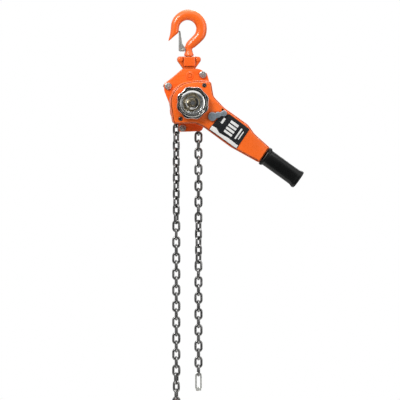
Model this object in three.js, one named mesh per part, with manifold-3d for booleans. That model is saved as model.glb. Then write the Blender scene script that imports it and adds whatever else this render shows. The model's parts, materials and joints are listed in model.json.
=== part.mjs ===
// Lever chain hoist, 1.5 t class, hanging from its top hook.
// Millimetres, +Z up, -Y towards the hand wheel, origin on the seat of the top hook's bowl.
import * as THREE from 'three';
import { mergeVertices } from 'three/addons/utils/BufferGeometryUtils.js';
import Module from 'manifold-3d';

const wasm = await Module();
wasm.setup();

// ---------- driving dimensions ----------
const PITCH = 24; // chain pitch: inside length of a link
const WIRE = 7.1; // chain wire diameter
const LINK_WIDTH = 25; // outside width of a link
const CONTACT = 0.3; // how far each link's inner edge sinks into its neighbour
const CHAIN_LIFT = 0.8; // how much higher each hinged run of chain sits, clear of the run it hangs on
const GAP = 0.3; // clearance between touching pieces

const SHAFT_X = -4.6; // drive shaft, seen from the front
const SHAFT_Z = -242;
const TOP_PIN_Z = -165;
const PLATE_IN = 16; // inner face of each side plate, from the chain's plane
const PLATE_OUT = 20;
const FALL_X = 33.4; // each fall of chain, from the shaft
const WRAP_RADIUS = 31.36; // the chain's joints where it goes over the sheave
const LOAD_LINKS = 38;
const TAIL_LINKS = 34;
const FIXED_LINKS = 4; // links of each fall that stay between the side plates
const LOAD_UPPER_END = 20;
const TAIL_UPPER_END = 19;

const LEVER_ANGLE = THREE.MathUtils.degToRad(35.7); // below the horizontal
const LEVER_REAR = -52.3;
const LEVER_SPLIT = -68;
const LEVER_FRONT = -90;
const LEVER_WALL = 2.5;
const GRIP_START = 272;
const GRIP_END = 399;
const SELECTOR = [85, 16]; // pivot, along and across the lever
const OIL_HOLE = [88, 37];
const HOUSING_SCREWS = [[1, 64], [1, -58]];
const BORE_IN_LEVER = 24;

const STAYS = { left: [-60.5, 46.8], right: [43.5, 80.5], lower: [-17.5, -78] };
const STAY_RADIUS = 4.5;
const STAY_HEAD = 10; // corner radius of a stay's hexagon head
const STAY_NUT = 10.5; // corner radius of a stay's nut

const MODULE = 2; // gear tooth module
const GEAR_CENTRES = 30;
const SHAFT_TEETH = 8;
const DISC_TEETH = 22;
const DISC_PINION_TEETH = 9;
const LOAD_TEETH = 21;
const DISC_ANGLES = { upper: 70, lower: 250 };
const CHANGE_TEETH = 24;
const CHANGE_TIP = 44;
const CHANGE_ROOT = 39;
const RATCHET_TIP = 36;
const PAWL_PIVOT = 45;
const PAWL_ANGLES = { upper: 112, lower: 292 };

// Sides of round pieces: small fasteners, shafts and rings, and the largest covers.
const SMALL_ROUND = 8;
const ROUND = 16;
const LARGE_ROUND = 24;

// ---------- materials ----------
const finish = (color, roughness, metalness) =>
  new THREE.MeshStandardMaterial({ color, roughness, metalness });
const paint = finish(0xfa6923, 0.35, 0.1);
const chrome = finish(0xd8d8d6, 0.12, 1);
const zinc = finish(0xb9bcbd, 0.35, 0.9);
const chainSteel = finish(0x4b4b4b, 0.45, 0.8);
const gearSteel = finish(0x8a8c8e, 0.4, 0.9);
const rubber = finish(0x232524, 0.8, 0);
const liner = finish(0x5a4632, 0.9, 0);
const plateBlack = finish(0x15171a, 0.4, 0);
const bronze = finish(0xb08a4a, 0.4, 0.9);

// ---------- shape helpers ----------
const radians = (degrees) => THREE.MathUtils.degToRad(degrees);
const polar = (radius, degrees) => [
  radius * Math.cos(radians(degrees)),
  radius * Math.sin(radians(degrees)),
];

function solid(geometry) {
  const plain = geometry.clone();
  for (const name of Object.keys(plain.attributes)) {
    if (name !== 'position') plain.deleteAttribute(name);
  }
  const merged = mergeVertices(plain, 1e-4);
  return new wasm.Manifold(new wasm.Mesh({
    numProp: 3,
    vertProperties: new Float32Array(merged.attributes.position.array),
    triVerts: new Uint32Array(merged.index.array),
  }));
}

const join = (first, ...rest) => rest.reduce((whole, piece) => whole.add(piece), first);
const cut = (first, ...rest) => rest.reduce((whole, piece) => whole.subtract(piece), first);

function part(name, shape, material) {
  const { vertProperties, triVerts } = shape.getMesh();
  const geometry = new THREE.BufferGeometry();
  geometry.setAttribute('position', new THREE.BufferAttribute(new Float32Array(vertProperties), 3));
  geometry.setIndex(new THREE.BufferAttribute(new Uint32Array(triVerts), 1));
  geometry.computeVertexNormals();
  const mesh = new THREE.Mesh(geometry, material);
  mesh.name = name;
  return mesh;
}

// A turned piece about the Y axis. The profile is [radius, y] pairs: it starts and ends on the
// axis, or it is a ring's closed outline.
function turned(profile, segments = ROUND) {
  const points = profile.map(([radius, y]) => new THREE.Vector2(radius, y));
  const isRing = profile.every(([radius]) => radius > 0);
  if (isRing) points.push(points[0].clone());
  const area = points.reduce((sum, p, i) => {
    const q = points[(i + 1) % points.length];
    return sum + p.x * q.y - q.x * p.y;
  }, 0);
  if (area < 0) points.reverse();
  return solid(new THREE.LatheGeometry(points, segments));
}

const tube = (inner, outer, low, high, segments = ROUND) =>
  turned([[inner, low], [outer, low], [outer, high], [inner, high]], segments);
const rod = (radius, low, high, segments = ROUND) =>
  turned([[0, low], [radius, low], [radius, high], [0, high]], segments);

// An outline in the XZ plane given thickness along Y.
function slab(shape, low, high) {
  const geometry = new THREE.ExtrudeGeometry(shape, {
    depth: high - low, bevelEnabled: false, curveSegments: 6,
  });
  geometry.rotateX(Math.PI / 2);
  geometry.translate(0, high, 0);
  return solid(geometry);
}

// A polygon [x, z, corner radius] drawn anticlockwise, with its corners rounded.
function rounded(corners, step = 22.5) {
  const points = [];
  corners.forEach(([x, z, radius], index) => {
    const here = new THREE.Vector2(x, z);
    const before = corners[(index + corners.length - 1) % corners.length];
    const after = corners[(index + 1) % corners.length];
    const back = new THREE.Vector2(before[0] - x, before[1] - z).normalize();
    const on = new THREE.Vector2(after[0] - x, after[1] - z).normalize();
    const half = Math.acos(THREE.MathUtils.clamp(back.dot(on), -1, 1)) / 2;
    if (radius < 0.1 || half > 1.55) {
      points.push(here);
      return;
    }
    const reach = radius / Math.tan(half);
    const middle = back.clone().add(on).normalize().multiplyScalar(radius / Math.sin(half));
    const centre = here.clone().add(middle);
    const start = here.clone().addScaledVector(back, reach).sub(centre);
    const end = here.clone().addScaledVector(on, reach).sub(centre);
    const turn = Math.atan2(start.x * end.y - start.y * end.x, start.dot(end));
    const steps = Math.max(1, Math.round(Math.abs(turn) / radians(step)));
    for (let i = 0; i <= steps; i += 1) {
      points.push(start.clone().rotateAround(new THREE.Vector2(), (turn * i) / steps).add(centre));
    }
  });
  return new THREE.Shape(points);
}

// The same polygon with every edge moved inwards.
function inset(corners, distance) {
  const count = corners.length;
  const edge = (i) => {
    const [x, z] = corners[i];
    const [nextX, nextZ] = corners[(i + 1) % count];
    const along = new THREE.Vector2(nextX - x, nextZ - z).normalize();
    const foot = new THREE.Vector2(x - along.y * distance, z + along.x * distance);
    return { along, foot };
  };
  return corners.map(([, , radius], i) => {
    const first = edge((i + count - 1) % count);
    const second = edge(i);
    const cross = first.along.x * second.along.y - first.along.y * second.along.x;
    const between = second.foot.clone().sub(first.foot);
    const travel = (between.x * second.along.y - between.y * second.along.x) / cross;
    const meet = first.foot.clone().addScaledVector(first.along, travel);
    return [meet.x, meet.y, Math.max(0.2, radius + (cross > 0 ? -distance : distance))];
  });
}

// A capsule outline between two points.
function capsule([x1, z1], [x2, z2], radius) {
  const angle = Math.atan2(z2 - z1, x2 - x1);
  const shape = new THREE.Shape();
  shape.absarc(x2, z2, radius, angle - Math.PI / 2, angle + Math.PI / 2, false);
  shape.absarc(x1, z1, radius, angle + Math.PI / 2, angle + 1.5 * Math.PI, false);
  return shape;
}

// Skin over rings of points. Every ring has the same count; the ends are capped unless closed.
function skin(rings, closed = false) {
  const count = rings[0].length;
  const vertices = rings.flat();
  const triangles = [];
  const spans = closed ? rings.length : rings.length - 1;
  for (let ring = 0; ring < spans; ring += 1) {
    const next = (ring + 1) % rings.length;
    for (let i = 0; i < count; i += 1) {
      const j = (i + 1) % count;
      const corners = [ring * count + i, ring * count + j, next * count + j, next * count + i];
      triangles.push(corners[0], corners[1], corners[2], corners[0], corners[2], corners[3]);
    }
  }
  if (!closed) {
    const last = (rings.length - 1) * count;
    for (let i = 1; i < count - 1; i += 1) {
      triangles.push(0, i + 1, i, last, last + i, last + i + 1);
    }
  }
  const positions = new Float32Array(vertices.flatMap((v) => [v.x, v.y, v.z]));
  const made = new wasm.Manifold(new wasm.Mesh({
    numProp: 3, vertProperties: positions, triVerts: new Uint32Array(triangles),
  }));
  if (made.volume() > 0) return made;
  for (let i = 0; i < triangles.length; i += 3) {
    [triangles[i], triangles[i + 1]] = [triangles[i + 1], triangles[i]];
  }
  return new wasm.Manifold(new wasm.Mesh({
    numProp: 3, vertProperties: positions, triVerts: new Uint32Array(triangles),
  }));
}

// One ring of a forging: centre x, z, half its width in the XZ plane, half its thickness along
// Y, and the direction in degrees of the width.
function forgedRing([x, z, half, thick, direction], sides = 8) {
  const across = new THREE.Vector3(Math.cos(radians(direction)), 0, Math.sin(radians(direction)));
  const ring = [];
  for (let i = 0; i < sides; i += 1) {
    const angle = ((i + 0.5) / sides) * 2 * Math.PI;
    const scale = 1 / Math.cos(Math.PI / sides);
    ring.push(new THREE.Vector3(x, 0, z)
      .addScaledVector(across, half * scale * Math.cos(angle))
      .add(new THREE.Vector3(0, thick * scale * Math.sin(angle), 0)));
  }
  return ring;
}

const forged = (sections, sides) => skin(sections.map((section) => forgedRing(section, sides)));

const fromYToZ = (shape) => shape.rotate([90, 0, 0]);

// ---------- hooks and their yokes: one pattern, drawn as the top one ----------
const BOWL = [-4, -26];
const BOWL_RADIUS = 26;
const HOOK_THICK = 12;
const LATCH_PIVOT = [-19.3, -88];
const LATCH_LENGTH = 57;
const LATCH_CHEEK = 7.2; // outer face of each cheek, from the hook's middle
const LATCH_INSIDE = 5.2;

function hookSolid() {
  const round = [[180, 12.3], [157, 13], [135, 14], [112, 15], [90, 16], [67, 16.3], [45, 16.5],
    [22, 16.3], [0, 16], [-22, 16], [-42, 15]];
  const bowl = round.map(([angle, half]) => {
    const [x, z] = polar(BOWL_RADIUS + half, angle);
    return [BOWL[0] + x, BOWL[1] + z, half, HOOK_THICK, angle];
  });
  const tip = [
    [-60, -61, 2, 4, 205],
    [-52, -50.5, 8.5, 8, 200],
    [-44.3, -39.5, 12.8, 11, 192],
  ];
  const neck = [
    [13, -66, 14.5, 12, -54],
    [3.5, -76, 13.5, 11.5, -25],
    [0, -85, 10.4, 10.4, 0],
    [0, -93, 11, 11, 0],
    [0, -101, 14, 14, 0],
    [0, -106.5, 14.5, 14.5, 0],
  ];
  const shank = fromYToZ(rod(9.5, -125, -106));
  const head = fromYToZ(rod(13.6, -131, -119.5));
  const lug = slab(capsule(LATCH_PIVOT, [-4, -80], 5.5), -4.5, 4.5);
  const eye = rod(2.6, -12, 12, SMALL_ROUND).translate([LATCH_PIVOT[0], 0, LATCH_PIVOT[1]]);
  return cut(join(forged([...tip, ...bowl, ...neck]), shank, head, lug), eye);
}

function latchSolid() {
  const [x, z] = LATCH_PIVOT;
  const side = rounded([
    [x + 8, z - 5, 4], [x + 8, z + 4, 6], [x + 3, z + 20, 20], [x - 6.5, z + LATCH_LENGTH, 0.8],
    [x - 10.4, z + LATCH_LENGTH, 0.8], [x - 10.8, z - 5, 4],
  ], 45);
  const outer = slab(side, -LATCH_CHEEK, LATCH_CHEEK);
  const hollow = slab(rounded([
    [x + 14, z - 12, 0], [x + 14, z + LATCH_LENGTH - 4, 0],
    [x - 8, z + LATCH_LENGTH - 4, 0], [x - 8.6, z + 11, 0], [x - 14, z + 9, 0], [x - 14, z - 12, 0],
  ]), -LATCH_INSIDE, LATCH_INSIDE);
  const eye = rod(2.6, -12, 12, SMALL_ROUND).translate([x, 0, z]);
  return cut(outer, hollow, eye);
}

const latchPin = () => join(rod(2.2, -8.4, 12, SMALL_ROUND), rod(3.6, -9.4, -7.6, SMALL_ROUND))
  .translate([LATCH_PIVOT[0], 0, LATCH_PIVOT[1]]);

function latchSpring() {
  const turns = 2.5;
  const points = [];
  for (let i = 0; i <= 20; i += 1) {
    const angle = (i / 20) * turns * 2 * Math.PI;
    points.push(new THREE.Vector3(
      LATCH_PIVOT[0] + 3.6 * Math.cos(angle), 8.4 + i * 0.15, LATCH_PIVOT[1] + 3.6 * Math.sin(angle),
    ));
  }
  const wire = new THREE.Shape();
  wire.moveTo(0.4, 0.4);
  wire.lineTo(-0.4, 0.4);
  wire.lineTo(-0.4, -0.4);
  wire.lineTo(0.4, -0.4);
  return solid(new THREE.ExtrudeGeometry(wire, {
    steps: 30, bevelEnabled: false, extrudePath: new THREE.CatmullRomCurve3(points),
  }));
}

const EAR = [26, -117];
const EAR_REACH = 35; // outer side of each ear, from the middle
const YOKE_TOP = -108;
const YOKE_SHOULDER = -136.5;

// One pressed half of a yoke. side is -1 for the front half. slot is half the slot's width.
function yokeHalf(side, slot) {
  const body = rounded([
    [17, YOKE_TOP, 4], [-17, YOKE_TOP, 4], [-18.5, YOKE_SHOULDER, 3], [18.5, YOKE_SHOULDER, 3],
  ], 45);
  const ears = slab(rounded([
    [EAR_REACH, YOKE_TOP, 8.5], [-EAR_REACH, YOKE_TOP, 8.5], [-EAR_REACH, -121, 7],
    [-16, -146, 2], [16, -146, 2], [EAR_REACH, -121, 7],
  ], 30), 0.15, 10);
  const chamber = slab(body, 0.15, 17.5);
  const tongue = slab(rounded([
    [18, YOKE_SHOULDER + 2, 0], [-18, YOKE_SHOULDER + 2, 0],
    [-12, TOP_PIN_Z - 11.5, 11], [12, TOP_PIN_Z - 11.5, 11],
  ], 30), slot, 12);
  const shankHole = fromYToZ(rod(10.2, -119.2, -100));
  const headHole = fromYToZ(rod(14.3, -131.6, -119));
  const pinHole = rod(6.6, -1, 30).translate([0, 0, TOP_PIN_Z]);
  const earHoles = [-1, 1].map((hand) =>
    rod(3.8, -1, 30, SMALL_ROUND).translate([hand * EAR[0], 0, EAR[1]]));
  const half = cut(join(chamber, ears, tongue), shankHole, headHole, pinHole, ...earHoles);
  return side > 0 ? half : half.mirror([0, 1, 0]);
}

const earRivet = (hand) => join(
  rod(3.5, -12.5, 12.5, SMALL_ROUND),
  rod(6.3, -12.8, -10.3, SMALL_ROUND),
  rod(6.3, 10.3, 12.8, SMALL_ROUND),
).translate([hand * EAR[0], 0, EAR[1]]);

function hookAssembly(name, slot) {
  const group = new THREE.Group();
  group.add(
    part(`${name}_hook`, hookSolid(), paint),
    part(`${name}_latch`, latchSolid(), zinc),
    part(`${name}_latch_pin`, latchPin(), zinc),
    part(`${name}_yoke_front`, yokeHalf(-1, slot), paint),
    part(`${name}_yoke_rear`, yokeHalf(1, slot), paint),
    part(`${name}_rivet_left`, earRivet(-1), paint),
    part(`${name}_rivet_right`, earRivet(1), paint),
  );
  return group;
}

const topAssembly = hookAssembly('top', 0.15);
topAssembly.add(
  part('top_latch_spring', latchSpring(), zinc),
  part('top_pin', rod(6.2, -21, 21).translate([0, 0, TOP_PIN_Z]), paint),
);

// ---------- everything below is drawn from the drive shaft's axis ----------
const hoist = new THREE.Group();
hoist.position.set(SHAFT_X, 0, SHAFT_Z);
const pinFromShaft = [-SHAFT_X, TOP_PIN_Z - SHAFT_Z];
const at = ([x, z], shape) => shape.translate([x, 0, z]);

// ---------- frame ----------
const PLATE = [
  [22, 98, 6], [-16, 98, 6], [-44, 74.5, 20], [-73, 52, 9], [-72, 33, 12], [-47, -30, 30],
  [-50, -56, 8], [-29, -60, 6], [-29, -90, 8], [40, -88, 10], [62, -40, 30], [66, 50, 20],
  [56, 85, 12], [34, 97, 14],
];
// The gear side's plate is narrower on its left.
const GEAR_PLATE = PLATE.map(([x, z, radius]) => [x < -10 ? x + 5 : x, z, radius]);
const plateHoles = () => [
  at(pinFromShaft, rod(6.6, -30, 30)),
  ...Object.values(STAYS).map((place) => at(place, rod(STAY_RADIUS + GAP, -30, 30, SMALL_ROUND))),
  rod(21, -30, 30),
];
const stud = (angle) => at(polar(PAWL_PIVOT, angle), rod(3.4, -42, -PLATE_OUT + 1, SMALL_ROUND));
const trunnionHole = (angle) => at(polar(GEAR_CENTRES, angle), rod(5.6, -1, 60, SMALL_ROUND));
const ratchetPlate = join(
  cut(slab(rounded(PLATE), -PLATE_OUT, -PLATE_IN), ...plateHoles()),
  ...Object.values(PAWL_ANGLES).map(stud),
);
const gearPlate = cut(
  slab(rounded(GEAR_PLATE), PLATE_IN, PLATE_OUT),
  ...plateHoles(),
  ...Object.values(DISC_ANGLES).map(trunnionHole),
);
hoist.add(
  part('ratchet_side_plate', ratchetPlate, paint),
  part('gear_side_plate', gearPlate, paint),
);

for (const [name, place] of Object.entries(STAYS)) {
  const bolt = join(
    rod(STAY_RADIUS, -30, 26, SMALL_ROUND),
    rod(STAY_HEAD, PLATE_OUT + GAP, 27, 6),
  );
  const spacer = rod(STAY_RADIUS + 1.3, -PLATE_IN + GAP, PLATE_IN - GAP, SMALL_ROUND);
  const nut = cut(
    rod(STAY_NUT, -27.5, -PLATE_OUT - GAP, 6),
    rod(STAY_RADIUS + GAP, -40, 0, SMALL_ROUND),
  );
  const stay = name === 'lower' ? bolt : join(bolt, spacer);
  hoist.add(part(`stay_bolt_${name}`, at(place, stay), zinc));
  hoist.add(part(`stay_nut_${name}`, at(place, nut), zinc));
}

const stripper = slab(rounded([
  [9, -44, 2], [-9, -44, 2], [-9, -67, 2], [9, -67, 2],
]), -PLATE_IN + GAP, PLATE_IN - GAP);
hoist.add(part('chain_stripper', stripper, gearSteel));

const CASE_AXIS = Object.values(DISC_ANGLES).map((angle) => polar(GEAR_CENTRES, angle));
const caseSlab = (radius, low, high) => slab(capsule(CASE_AXIS[1], CASE_AXIS[0], radius), low, high);
const CASE_SCREWS = [polar(34.5, 160), polar(34.5, 340)];
const gearCase = cut(
  join(caseSlab(39.5, PLATE_OUT + GAP, 23.5), caseSlab(29, 22, 56)),
  caseSlab(26, 10, 53),
  ...CASE_SCREWS.map((place) => at(place, rod(2.4, 0, 60, SMALL_ROUND))),
);
const caseBosses = Object.values(DISC_ANGLES).map((angle) =>
  at(polar(GEAR_CENTRES, angle), tube(5.7, 8.5, 47, 54, SMALL_ROUND)));
hoist.add(part('gear_case', join(gearCase, ...caseBosses), paint));
CASE_SCREWS.forEach((place, index) => {
  const screw = join(rod(2.1, PLATE_OUT + GAP, 25, SMALL_ROUND), rod(4, 23.8, 27, 6));
  hoist.add(part(`gear_case_screw_${index + 1}`, at(place, screw), zinc));
});

const brakeCover = turned([
  [54, -PLATE_OUT - GAP], [54, -45], [50, -49], [25, -49], [25, -47], [49.5, -47], [52, -44.5],
  [52, -PLATE_OUT - GAP],
], LARGE_ROUND);
hoist.add(part('brake_cover', brakeCover, paint));

// ---------- load sheave, gears and drive shaft ----------
const sheaveBlank = turned([
  [8.5, -24], [16.2, -24], [16.2, -15.7], [37, -15.6], [37, -14], [34, -13.2], [24.6, -13.1],
  [24.6, -4.8], [15.9, -4.6], [15.9, 4.6], [24.6, 4.8], [24.6, 13.1], [34, 13.2], [37, 14],
  [37, 15.6], [16.2, 15.7], [16.2, 20.6], [11.7, 20.6], [11.7, 34.4], [8.5, 34.4],
]);
const pockets = [0, 1, 2, 3].map((quarter) => {
  const box = slab(rounded([[45, 15, 0], [22.8, 15, 0], [22.8, -15, 0], [45, -15, 0]]), -12.95, 12.95);
  return box.rotate([0, -(22.5 + 90 * quarter), 0]);
});
hoist.add(part('load_sheave', cut(sheaveBlank, ...pockets), gearSteel));
hoist.add(part('sheave_bearing_front', tube(16.8, 20.7, -19.7, -16.3), bronze));
hoist.add(part('sheave_bearing_rear', tube(16.8, 20.7, 16.3, 19.7), bronze));

// A spur gear's outline, with plain flanks and working backlash. phase turns its first tooth.
function gearShape(teeth, tip, root, phase, tipShare = 0.11, rootShare = 0.21) {
  const points = [];
  for (let tooth = 0; tooth < teeth; tooth += 1) {
    const middle = phase + (tooth * 360) / teeth;
    const pitchAngle = 360 / teeth;
    points.push(polar(root, middle - rootShare * pitchAngle));
    points.push(polar(tip, middle - tipShare * pitchAngle));
    points.push(polar(tip, middle + tipShare * pitchAngle));
    points.push(polar(root, middle + rootShare * pitchAngle));
  }
  return new THREE.Shape(points.map(([x, z]) => new THREE.Vector2(x, z)));
}

const pitchRadius = (teeth) => (teeth * MODULE) / 2;
const spur = (teeth, phase, low, high) => slab(
  gearShape(teeth, pitchRadius(teeth) + 0.9 * MODULE, pitchRadius(teeth) - 1.15 * MODULE, phase),
  low, high,
);
const FIRST_DISC = DISC_ANGLES.upper;
// The phase that puts a gear centred at polar(GEAR_CENTRES, angle) in mesh with its partner on the
// shaft's axis, whose first tooth points along FIRST_DISC.
function meshPhase(teeth, angle, partnerTeeth) {
  const toothShare = ((angle - FIRST_DISC) * partnerTeeth) / 360;
  return angle + 180 - ((0.5 - toothShare) * 360) / teeth;
}
hoist.add(part('load_gear', cut(spur(LOAD_TEETH, FIRST_DISC, 22, 32), rod(12, 0, 50)), gearSteel));
for (const [name, angle] of Object.entries(DISC_ANGLES)) {
  const disc = join(
    spur(DISC_TEETH, meshPhase(DISC_TEETH, angle, SHAFT_TEETH), 35.5, 43.5),
    spur(DISC_PINION_TEETH, meshPhase(DISC_PINION_TEETH, angle, LOAD_TEETH), 21.5, 36),
    rod(5, 16.4, 50.5, SMALL_ROUND),
  );
  hoist.add(part(`disc_gear_${name}`, at(polar(GEAR_CENTRES, angle), disc), gearSteel));
}
const shaftBody = turned([
  [0, 51], [5, 51], [5, 46], [6, 46], [6, 35.2], [8, 35.2], [8, -90], [6.5, -92], [6.5, -118],
  [5.5, -119.5], [0, -119.5],
]);
hoist.add(part('drive_shaft', join(shaftBody, spur(SHAFT_TEETH, FIRST_DISC, 35.2, 45)), gearSteel));

// ---------- brake ----------
hoist.add(part('brake_hub', turned([
  [8.3, -25], [14, -25], [14, -28], [31, -29], [31, -33], [8.3, -33],
]), gearSteel));
hoist.add(part('friction_disc_inner', tube(13, 31, -35.3, -33.3), liner));
hoist.add(part('friction_disc_outer', tube(13, 31, -43.9, -41.9), liner));

function ratchetShape(teeth, tip, root) {
  const points = [];
  for (let tooth = 0; tooth < teeth; tooth += 1) {
    const start = (tooth * 360) / teeth;
    points.push(polar(root, start), polar(tip, start + 1.5), polar(tip, start + 5));
  }
  return new THREE.Shape(points.map(([x, z]) => new THREE.Vector2(x, z)));
}
const ratchetDisc = cut(slab(ratchetShape(12, RATCHET_TIP, 31.5), -41.6, -35.6), rod(13, -60, 0));
hoist.add(part('ratchet_disc', ratchetDisc, gearSteel));

const hubShape = turned([
  [8.3, -33.6], [12.6, -33.6], [12.6, -44.2], [30, -44.2], [30, -46.6], [20, -46.6], [20, -93],
  [8.3, -93],
]);
// Turned so that the selector's pawl drops into a gap.
const CHANGE_PHASE = -17.5;
const changeTeeth = cut(
  slab(gearShape(CHANGE_TEETH, CHANGE_TIP, CHANGE_ROOT, CHANGE_PHASE, 0.13, 0.22), -74, -60),
  rod(15, -100, 0),
);
hoist.add(part('change_gear', join(hubShape, changeTeeth), gearSteel));

// Pawls drawn riding on the crests of the ratchet's teeth.
for (const [name, angle] of Object.entries(PAWL_ANGLES)) {
  const [x, z] = polar(PAWL_PIVOT, angle);
  const nose = polar(RATCHET_TIP + 2.4, angle - 34);
  const blade = slab(capsule([x, z], nose, 1.8), -41.6, -35.6);
  const boss = at([x, z], rod(5.2, -41.6, -35.6, SMALL_ROUND));
  const pivotHole = at([x, z], rod(3.7, -60, 0, SMALL_ROUND));
  hoist.add(part(`pawl_${name}`, cut(join(boss, blade), pivotHole), gearSteel));
}

// ---------- hand wheel ----------
const LOBES = 8;
function wheelShape(outer, hole) {
  const points = [];
  const count = LOBES * 4;
  for (let i = 0; i < count; i += 1) {
    const angle = (i * 360) / count;
    const wave = Math.cos(radians(LOBES * (angle - 20)));
    points.push(new THREE.Vector2(...polar(outer - 1.7 + 1.7 * wave, angle)));
  }
  const shape = new THREE.Shape(points);
  if (hole) shape.holes.push(new THREE.Path().absarc(0, 0, hole, 0, 2 * Math.PI, true));
  return shape;
}
const wheelDish = turned([
  [6.8, -100], [6.8, -93.6], [19, -93.6], [30, -97], [46, -101], [46, -105], [41, -104.5],
  [32, -113], [29, -113], [21, -101.5],
], LARGE_ROUND);
const wheelRim = cut(slab(wheelShape(49.5), -118, -100), turned([
  [0, -130], [44, -130], [44, -117], [41, -104.6], [38, -99], [0, -99],
], LARGE_ROUND));
hoist.add(part('hand_wheel', join(wheelDish, wheelRim), chrome));
const castleSlots = [0, 60, 120].map((angle) =>
  slab(rounded([[20, 1.2, 0], [-20, 1.2, 0], [-20, -1.2, 0], [20, -1.2, 0]]), -113, -109)
    .rotate([0, angle, 0]));
const castleNut = cut(rod(11.5, -111, -101.9, 6), rod(6.8, -130, -90), ...castleSlots);
hoist.add(part('shaft_nut', castleNut, bronze));

// ---------- lever ----------
const lever = new THREE.Group();
lever.rotation.y = LEVER_ANGLE;
hoist.add(lever);

const LEVER_OUTLINE = [
  [270, -27, 4], [270, 28, 4], [209, 34.5, 60], [177, 45.3, 40], [88, 45, 60], [44, 53.7, 20],
  [12, 85, 9], [-25.7, 62, 40], [-62, 25.7, 60], [-62, -25.7, 60], [-25.7, -62, 12],
  [-6, -82, 9], [47, -43, 20], [77, -37, 60], [177, -38, 60],
];
const leverSlab = (distance, low, high) => slab(rounded(inset(LEVER_OUTLINE, distance)), low, high);
const screwHoles = HOUSING_SCREWS.map((place) => at(place, rod(3.8, -120, 0, SMALL_ROUND)));
const selectorHole = at(SELECTOR, rod(5.8, -120, 0, SMALL_ROUND));
const tang = slab(rounded([[385, -13, 4], [385, 13, 4], [262, 13, 0], [262, -13, 0]]), -64, -55);
const rearShell = cut(
  leverSlab(0, LEVER_SPLIT, LEVER_REAR),
  leverSlab(LEVER_WALL, LEVER_SPLIT - 5, LEVER_REAR - LEVER_WALL),
  rod(BORE_IN_LEVER, -120, 0),
  ...screwHoles,
  selectorHole,
);
lever.add(part('lever_housing_rear', join(rearShell, tang), paint));
const frontShell = cut(
  join(leverSlab(3, LEVER_FRONT, -80), leverSlab(0, -84, LEVER_SPLIT - GAP)),
  leverSlab(3 + LEVER_WALL, LEVER_FRONT + LEVER_WALL, -70),
  leverSlab(LEVER_WALL, -81.5, -60),
  rod(BORE_IN_LEVER, -120, 0),
  ...screwHoles,
  selectorHole,
  at(OIL_HOLE, rod(3, -120, 0, SMALL_ROUND)),
);
lever.add(part('lever_housing_front', frontShell, paint));
HOUSING_SCREWS.forEach((place, index) => {
  const screw = join(rod(3.4, -91, -52.6, SMALL_ROUND), rod(6, -92.6, -90.3, 6));
  lever.add(part(`housing_screw_${index ? 'lower' : 'upper'}`, at(place, screw), chainSteel));
});

const capacityPlate = slab(rounded([
  [190, -34, 3], [188, 37, 3], [112, 38, 3], [92, 12, 8], [88, -34, 3],
]), -91.3, -90.3);
lever.add(part('capacity_plate', capacityPlate, plateBlack));

// The selector's two finger lobes: [along, across, radius].
const LOBES_OF_SELECTOR = [[74.5, 2.5, 13], [97, 30, 9]];
const selectorTop = join(
  ...LOBES_OF_SELECTOR.map(([u, v, radius]) => {
    const halfway = [(u + SELECTOR[0]) / 2, (v + SELECTOR[1]) / 2];
    return slab(capsule([u, v], halfway, Math.min(8, radius - 3)), -98, -92);
  }),
  ...LOBES_OF_SELECTOR.map(([u, v, radius]) => at([u, v], rod(radius, -98, -92))),
  at(SELECTOR, rod(9, -98, -92)),
);
const selector = join(selectorTop, at(SELECTOR, rod(5, -92.5, -53, SMALL_ROUND)));
lever.add(part('selector_lever', selector, zinc));

const TIP_REACH = 48;
const TIP_SPREAD = 35;
const towardsShaft = 180 + THREE.MathUtils.radToDeg(Math.atan2(SELECTOR[1], SELECTOR[0]));
const selectorPawl = cut(join(
  at(SELECTOR, rod(10, -73, -61)),
  ...[-1, 1].map((hand) => {
    const [u, v] = polar(TIP_REACH, towardsShaft + hand * TIP_SPREAD);
    const tipPoint = [SELECTOR[0] + u, SELECTOR[1] + v];
    const [a, b] = polar(7, towardsShaft + hand * TIP_SPREAD + 90);
    return slab(rounded([
      [tipPoint[0], tipPoint[1], 0.8],
      [SELECTOR[0] - a, SELECTOR[1] - b, 0],
      [SELECTOR[0] + a, SELECTOR[1] + b, 0],
    ]), -73, -61);
  }),
), at(SELECTOR, rod(5.3, -100, 0, SMALL_ROUND)));
lever.add(part('selector_pawl', selectorPawl, gearSteel));

// Moulded grip over the tang: [along, half width, half depth].
const GRIP_DEPTH = -70;
const gripSections = [
  [GRIP_START, 27, 18], [GRIP_START + 1.5, 30, 21], [GRIP_START + 8, 30, 21],
  [GRIP_START + 12, 25.5, 18.5], [GRIP_END - 30, 25.5, 18.5], [GRIP_END - 12, 26, 19],
  [GRIP_END - 8, 28.5, 20.5], [GRIP_END - 2, 28, 20], [GRIP_END, 24, 16.5],
];
function gripRing([along, width, depth]) {
  const ring = [];
  for (let i = 0; i < 16; i += 1) {
    const angle = ((i + 0.5) / 16) * 2 * Math.PI;
    const squarer = (value) => Math.sign(value) * Math.abs(value) ** 0.7;
    ring.push(new THREE.Vector3(
      along, GRIP_DEPTH + depth * squarer(Math.cos(angle)), width * squarer(Math.sin(angle)),
    ));
  }
  return ring;
}
const tangSocket = slab(rounded([
  [386, -13.4, 4], [386, 13.4, 4], [250, 13.4, 0], [250, -13.4, 0],
]), -64.4, -54.6);
lever.add(part('lever_grip', cut(skin(gripSections.map(gripRing)), tangSocket), rubber));

// ---------- chain ----------
const ARM = (LINK_WIDTH - WIRE) / 2; // wire centre, either side of the link's middle
const REACH = (PITCH + WIRE) / 2; // wire centre at each end
const WIRE_EDGE = WIRE / 2 + CONTACT;
const HINGE_SHARE = 0.94; // wire of the two links at each hinge, as a share of the others'

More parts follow.
